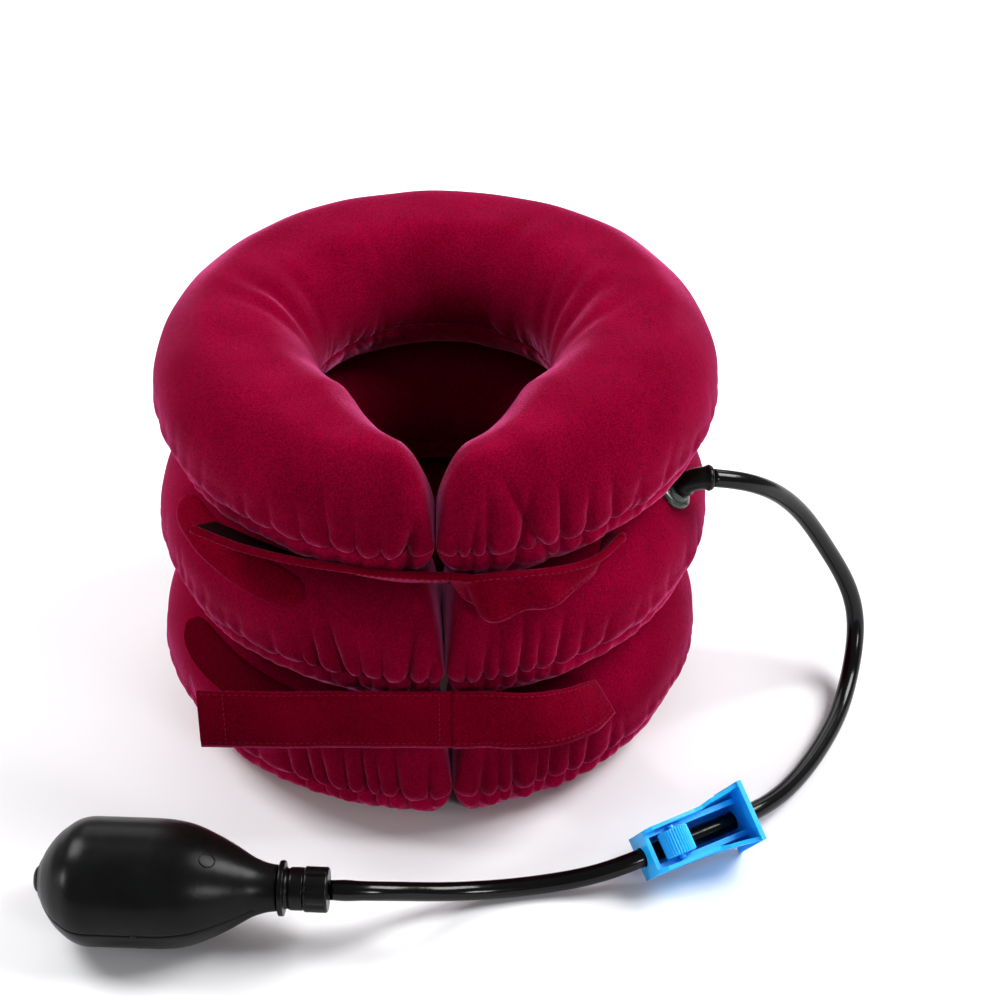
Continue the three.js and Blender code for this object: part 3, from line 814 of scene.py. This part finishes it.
def edge_rows(outer, out, inset):
    """Lines just inside the rim and just inside the second edge of a strap."""
    share = inset / np.linalg.norm(outer[:, -1] - outer[:, 0], axis=1)[:, None]
    rows = []
    for v in (share, 1 - share):
        u = v[:, 0] * (outer.shape[1] - 1)
        i = np.clip(np.floor(u).astype(int), 0, outer.shape[1] - 2)
        f = (u - i)[:, None]
        row = np.arange(len(outer))
        rows.append((outer[row, i] * (1 - f) + outer[row, i + 1] * f, out[row, i]))
    return rows


# Each pair is a point of the rim and the point of the second edge under it.
LOWER_Y = -117.4
LOWER_TAB = [
    ((x, LOWER_Y + dy, 81.9), (x, LOWER_Y + dy, 52.4))
    for x, dy in ((-87, 0.6), (-70, 0.2), (-52, 0), (-34, 0), (-12, 0), (STRAP_JOIN_X - 0.1, 0))
]
LOWER_BASE = [
    ((STRAP_JOIN_X, LOWER_Y, 81.9), (STRAP_JOIN_X, LOWER_Y, 52.4)),
    ((28, -117.2, 81.5), (28, -117.2, 52)),
    ((43, -115, 79), (44, -115.6, 50.5)),
    ((56, -106.5, 73.5), (60, -109, 47.5)),
    ((65, -93.5, 65.5), (72, -97, 43.5)),
    ((70, -83, 58), (79, -85, 41.5)),
]
UPPER_TAB = [
    ((-88.6, -83.6, 136), (-81, -64.5, 124.5)),
    ((-68, -96.5, 137), (-62, -76.5, 124.3)),
    ((-44.7, -105.8, 138), (-41, -88.8, 124.3)),
    ((-25, -112, 139), (-23, -97, 124.3)),
    ((-6.2, -116, 139.8), (-6, -101, 124.3)),
    ((STRAP_JOIN_X - 0.1, -117, 139.8), (STRAP_JOIN_X - 0.1, -101.5, 124.3)),
]
UPPER_BASE = [
    ((STRAP_JOIN_X, -117, 139.8), (STRAP_JOIN_X, -101.5, 124.3)),
    ((20, -116.8, 139.6), (20, -110, 120.5)),
    ((29, -115.5, 139.5), (29, -113.5, 117)),
    ((42, -112.5, 138.7), (42, -112, 118)),
    ((55, -108, 137), (54.5, -107.5, 121)),
    ((70, -95, 132), (67, -94, 123.5)),
    ((81.3, -77, 127), (73, -69.5, 124.3)),
]


def soft_wave(seed, amount):
    """A shape for strap(): gentle unevenness along it."""
    return lambda t, v: amount * (
        noise_line(t * 60, 11, seed) * 0.6 + noise_line(t * 60 + v * 14, 6, seed + 1) * 0.4 * v
    )


BELLY_FOLDS = (  # place along, width, height
    (0.23, 0.09, 3.4), (0.40, 0.06, -1.6), (0.53, 0.08, 2.6), (0.72, 0.07, 1.2), (0.1, 0.05, -1.4)
)


def upper_belly(t, v):
    """The soft half of the upper strap hangs in three folds."""
    folds = sum(a * np.exp(-(((t - at - 0.10 * v) / w) ** 2)) for at, w, a in BELLY_FOLDS)
    return folds * np.sin(np.clip(v, 0, 1) * math.pi * 0.62) * np.minimum(1, 6 * t)


# Of each strap: its tier, pieces, waviness, shape and piping, flat width (m) and cross seams.
for tier, level, tab_pairs, base_pairs, waves, shape, piping, width, base_seams in (
    (0, "lower", LOWER_TAB, LOWER_BASE, 0.45, soft_wave(63, 1.0), 0.0, 0.0295, (-3, -8, -15)),
    (1, "upper", UPPER_TAB, UPPER_BASE, 0.5, upper_belly, 0.9, 0.025, (-3,)),
):
    body, holder = f"{level}_strap", f"{TIER_NAMES[tier]}_top_cover"
    tab_shape = soft_wave(61, waves)
    made = [
        strap(f"{level}_hook_tab", tab_pairs, STRAP_VELVET, HOOK_TAPE, tab_shape, piping),
        strap(f"{level}_strap_cloth", base_pairs, STRAP_VELVET, STRAP_VELVET, shape, piping),
    ]
    for (piece, face, out, area), kind, seams, node, slot in (
        (made[0], "tab", (6, -3), f"{level}_strap_hook_tab", "hook_tape"),
        (made[1], "strap", base_seams, f"{level}_strap_base", "velvet"),
    ):
        rows = edge_rows(face, out, HEM_AT)
        rows += [(face[at, 1:-1], out[at, 1:-1]) for at in seams]
        thread = stitches(f"{level}_{kind}_stitches", rows, body)
        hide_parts(node)
        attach(piece, body)
        for soft in (piece, thread):
            flatten(soft)


# ---- Turned pieces ------------------------------------------------------------------------
def rounded(profile, radius):
    """A closed profile of (s, r) with each corner rounded."""
    p = [np.array(q, float) for q in profile]
    out = []
    for i, here in enumerate(p):
        a, b = p[i - 1] - here, p[(i + 1) % len(p)] - here
        la, lb = np.linalg.norm(a), np.linalg.norm(b)
        cut = min(radius, la * 0.45, lb * 0.45)
        a, b = here + a / la * cut, here + b / lb * cut
        out += [a, (a + b) / 4 + here / 2, b]
    return np.array(out)


def turned(name, profile, material, origin, axis, turns, detail=None):
    """A piece turned round an axis, in turns steps or at given angles. detail(angle, s, r)
    changes the radius."""
    axis = unit(axis)
    side = unit(np.cross((0, 0, 1.0), axis))
    up = np.cross(axis, side)
    angle = np.arange(turns) / turns * 2 * math.pi if isinstance(turns, int) else turns
    round_it = np.outer(np.cos(angle), side) + np.outer(np.sin(angle), up)
    rings = []
    for s, r in profile:
        radius = np.full(len(angle), float(r))
        if detail is not None:
            radius = radius + detail(angle, s, r)
        rings.append(np.asarray(origin) + axis * s + radius[:, None] * round_it)
    return loft(name, rings, material, closed=True)


pump_origin = pump_axis(0)
pump_direction = (math.cos(pump_yaw), math.sin(pump_yaw), 0.0)
# Angles start at +Y and go up over +Z. The mould's parting plane is tipped a little.
PARTING = math.radians(180 + 8)
PARTING_STEPS = np.radians((-2.2, -1.3, -0.8, -0.4, 0, 0.4, 0.8, 1.3, 2.2))
bulb_turns = np.sort(
    np.concatenate(
        [
            np.linspace(0, 2 * math.pi, 72, endpoint=False),
            *[(PARTING + half + PARTING_STEPS) % (2 * math.pi) for half in (0, math.pi)],
        ]
    )
)
BULB_OUTSIDE = [
    (0, 5.9), (0.4, 7.4), (1.3, 9), (2.8, 12), (5, 15.3), (7.5, 18.3), (10.5, 20.9), (14.5, 23.6),
    (19, 25.0), (26, 25.2), (34, 25.2), (43, 25.2), (50, 25.05), (58.6, 23.8), (67, 20.7),
    (75.5, 16.4), (80, 13.7), (84, 11.4), (89, 9.6), (93.4, 8.9),
]
BULB_INSIDE = [
    (93.4, 6.9), (84, 9), (75.5, 14), (67, 18.2), (58.6, 21.3), (50, 22.8), (19, 22.7),
    (10.5, 18.5), (5, 12.8), (2.6, 8.4), (2.6, 5.4), (0, 5.4),
]
bulb_profile = np.vstack([catmull([(s, r, 0) for s, r in BULB_OUTSIDE], 4)[:, :2], BULB_INSIDE])


def bulb_detail(angle, s, r):
    """The mould's parting line, and a slight unevenness, on the outside only."""
    if r < 8.8 and s > 2 or r < 6 or s < 1:
        return 0 * angle
    groove = 0
    for centre in (PARTING, PARTING - math.pi):
        off = (angle - centre + math.pi) % (2 * math.pi) - math.pi
        beside = 0.10 * np.exp(-(((np.abs(off) * r - 1.1) / 0.5) ** 2))
        groove = groove - 0.42 * np.exp(-((off * r / 0.42) ** 2)) + beside
    fade = min(1, (s - 1) / 6) * min(1, max(0, (88 - s) / 6))
    return groove * fade + 0.05 * np.sin(3 * angle + s * 0.13) * fade


bulb = turned(
    "bulb", bulb_profile, BULB_RUBBER, pump_origin, pump_direction, bulb_turns, bulb_detail
)


def bulb_radius_at(s):
    return float(np.interp(s, [q[0] for q in BULB_OUTSIDE], [q[1] for q in BULB_OUTSIDE]))


def bulb_mark(name, s, angle, ring, thick, lift, material):
    """A small raised ring or plug mark on the bulb's skin."""
    axis, side = np.array(pump_direction), unit(np.cross((0, 0, 1.0), pump_direction))
    up = np.cross(axis, side)
    path = []
    for k in range(28):
        turn = k / 28 * 2 * math.pi
        ds, dc = ring * math.cos(turn), ring * math.sin(turn)
        r = bulb_radius_at(s + ds) + lift
        a = angle + dc / r
        path.append(
            np.array(pump_origin) + axis * (s + ds) + r * (math.cos(a) * side + math.sin(a) * up)
        )
    rings = tube_rings(np.array(path), thick, 8)
    return loft(name, rings, material, closed=True)


ring_mark = bulb_mark("bulb_ring_mark", 67.5, math.radians(180 - 74), 2.9, 0.35, 0.08, BULB_RUBBER)
vent_mark = bulb_mark(
    "bulb_vent_mark", 40.5, PARTING + math.radians(1), 0.75, 0.5, -0.15, BLACK_PLASTIC
)
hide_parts("rubber_bulb")
for obj in (bulb, ring_mark, vent_mark):
    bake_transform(obj)

def knurl(angle, s, r):
    """Eight grooves down the outside of the nut."""
    if r < 8 or s > 112 or s < 104.4:
        return 0 * angle
    return -0.55 * np.abs(np.cos(angle * 4)) ** 10


# Of each piece along the pump: name, CAD node, body, corner radius, turns, detail, profile (s, r).
for name, node, body, corner, turns, detail, profile in (
    (
        "inlet_valve_shell", "inlet_valve_housing", "bulb_tail", 0.5, 48, None,
        [
            (-2, 1.2), (-2, 3.4), (-1.3, 4.7), (-0.3, 5.5), (-0.3, 5.1), (6, 5.1), (6, 2.6),
            (5, 2.6), (5, 3.9), (1.5, 3.9), (1.5, 1.2),
        ],
    ),
    (
        "valve_collar", "valve_body", "collar_base", 0.4, 64, None,
        [
            (85, 1.6), (85, 6.5), (93.6, 6.5), (93.8, 9.4), (93.8, 10.8), (95.9, 10.8), (96, 8.5),
            (97.2, 7.7), (98.4, 8.4), (103.3, 8.4), (103.3, 5.4), (110.9, 5.4), (110.9, 2.6),
            (100, 2.6), (100, 4.2), (87, 4.2), (87, 1.6),
        ],
    ),
    (
        "release_knob", "release_nut", "release_nut", 0.25, 144, knurl,
        [
            (103.6, 5.8), (103.6, 8.6), (104.4, 9), (104.6, 9), (111.6, 9), (112.1, 9),
            (112.9, 8.5), (112.9, 4.1), (112, 4.1), (112, 5.8),
        ],
    ),
    (
        "barb_fitting", "hose_barb", "collar_base", 0.1, 40, None,
        [
            (111.2, 1.2), (111.2, 5), (111.7, 5), (111.7, 2.9), (113, 2.9), (113.1, 2.1),
            (115.5, 2.35), (115.8, 2.0), (118.3, 2.35), (118.6, 2.0), (123, 2), (123, 1.2),
        ],
    ),
):
    shape = rounded(profile, corner)
    piece = turned(name, shape, BLACK_PLASTIC, pump_origin, pump_direction, turns, detail)
    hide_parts(node)
    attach(piece, body)

# ---- Inlet fitting ------------------------------------------------------------------------
INLET_PLACE, INLET_NORMAL = (102.2, -34, 115.9), (0.644, -0.222, 0.732)
flange_profile = [
    (0.6, 0.2), (0.6, 7.3), (1.2, 7.8), (2.3, 7.6), (2.9, 6.2), (3.1, 5.2), (5.0, 4.9), (5.2, 0.2)
]
flange = turned(
    "inlet_washer", rounded(flange_profile, 0.35), CLEAR_PVC, INLET_PLACE, INLET_NORMAL, 48
)
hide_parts("inlet_flange")
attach(flange, "inlet_fitting")
elbow_path = catmull(
    [
        (105.2, -35.0, 119.0), (106.2, -35.3, 120.7), (107.5, -35.6, 122.3),
        (109.2, -35.8, 123.7), (111.8, -35.8, 124.7), (114.5, -35.6, 125), (117.8, -35.1, 124.8),
    ],
    5,
)
elbow_at = np.linspace(0, 1, len(elbow_path))
elbow_radii = (  # it widens towards the hose and has a bead near either end
    4.5
    + 0.25 * elbow_at
    + 0.75 * np.exp(-(((elbow_at - 0.93) / 0.05) ** 2))
    + 0.5 * np.exp(-(((elbow_at - 0.22) / 0.06) ** 2))
)
elbow = loft("elbow_fitting", tube_rings(elbow_path, elbow_radii, 36), BLACK_PLASTIC)
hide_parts("inlet_elbow")
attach(elbow, "inlet_fitting")

# ---- Roller clamp -------------------------------------------------------------------------
clamp_x = np.array((math.cos(clamp_yaw), math.sin(clamp_yaw), 0.0))
roll = CLAMP_ROLL * RAD
level_y = np.array((-math.sin(clamp_yaw), math.cos(clamp_yaw), 0.0))
clamp_y = level_y * math.cos(roll) + np.array((0, 0, 1.0)) * math.sin(roll)
clamp_z = np.cross(clamp_x, clamp_y)


def in_clamp(x, y, z):
    """The clamp's own coordinates to collar-centred ones."""
    return np.array((CLAMP_X, CLAMP_Y, CLAMP_Z)) + clamp_x * x + clamp_y * y + clamp_z * z


def ribs(angle, s, r):
    """The roller's 34 ribs."""
    return -0.45 * (0.5 + 0.5 * np.cos(angle * 34)) * (r > 5.5) * (abs(s) < 5.1)


axle_middle = in_clamp(ROLLER_AT, 0, AXLE_Z)
roller_profile = [
    (-5.4, 1.7), (-5.4, 5.9), (-5.0, 6.4), (-4.7, 6.4), (4.7, 6.4), (5.0, 6.4), (5.4, 5.9),
    (5.4, 1.7),
]
roller = turned(
    "ribbed_roller", rounded(roller_profile, 0.2), BLUE_PLASTIC, axle_middle, clamp_y, 264, ribs
)
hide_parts("clamp_roller")
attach(roller, "roller_wheel")
axle_profile = [(-7.1, 0.1), (-7.1, 1.1), (-6.8, 1.4), (6.8, 1.4), (7.1, 1.1), (7.1, 0.1)]
axle = turned("axle_pin", rounded(axle_profile, 0.15), BLUE_PLASTIC, axle_middle, clamp_y, 32)
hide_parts("roller_axle")
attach(axle, "roller_carriage")


# ---- Carried-over CAD nodes ---------------------------------------------------------------
def finish_cad(node, material, bevel=0.0):
    """Gives a CAD node its material, and softens its edges by a modifier where bevel is set."""
    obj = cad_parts[node]
    obj.data.materials.clear()
    obj.data.materials.append(material)
    if bevel:
        weld = obj.modifiers.new("weld", "WELD")
        weld.merge_threshold = 1e-5
        soft = obj.modifiers.new("bevel", "BEVEL")
        soft.width = bevel
        soft.segments = 3
        soft.limit_method = "ANGLE"
        soft.angle_limit = math.radians(35)
        soft.harden_normals = False


finish_cad("clamp_housing", BLUE_PLASTIC, 0.00035)
for node, material in (
    ("lower_air_port", PORT_RUBBER),
    ("upper_air_port", PORT_RUBBER),
    ("inlet_valve_disc", VALVE_RUBBER),
    ("outlet_valve_disc", VALVE_RUBBER),
):
    finish_cad(node, material)

# ---- Floor and light ----------------------------------------------------------------------
floor_mesh = bpy.data.meshes.new("floor")
floor_mesh.from_pydata([(-6, -6, 0), (6, -6, 0), (6, 6, 0), (-6, 6, 0)], [], [(0, 1, 2, 3)])
floor = bpy.data.objects.new("floor", floor_mesh)
bpy.context.scene.collection.objects.link(floor)
paper = Shader("paper", 0.7)
paper.feed(
    "Base Color",
    paper.ramp(paper.noise(3, 2, 0.5), [(0.3, (0.77, 0.77, 0.79)), (0.7, (0.81, 0.81, 0.83))]),
)
floor_mesh.materials.append(paper.material)

world = bpy.data.worlds.new("studio")
world.use_nodes = True
background = world.node_tree.nodes["Background"]
background.inputs["Color"].default_value = (1, 1, 1, 1)
background.inputs["Strength"].default_value = 0.28
bpy.context.scene.world = world


def softbox(name, place, target, size, power):
    """An area light that faces a target, in metres and watts."""
    data = bpy.data.lights.new(name, "AREA")
    data.shape = "RECTANGLE"
    data.size, data.size_y = size
    data.energy = power
    light = bpy.data.objects.new(name, data)
    light.location = place
    light.rotation_euler = (Vector(target) - Vector(place)).to_track_quat("-Z", "Y").to_euler()
    bpy.context.scene.collection.objects.link(light)


softbox("upper left", (-1.05, 0.45, 1.30), (0, 0, 0.1), (0.8, 0.8), 26)
softbox("upper right", (1.15, 0.20, 1.25), (0, 0, 0.1), (0.8, 0.8), 33)
softbox("left", (-1.55, -0.36, 0.42), (-0.05, -0.1, 0.08), (0.3, 0.3), 6)
softbox("right", (0.95, -1.2, 0.62), (0, 0, 0.08), (0.3, 0.3), 7)
softbox("back", (0.1, 1.7, 1.2), (0, 0.6, 0), (2.2, 1.0), 15)
view = bpy.context.scene.view_settings
view.view_transform, view.look, view.gamma = "Standard", "None", 0.9
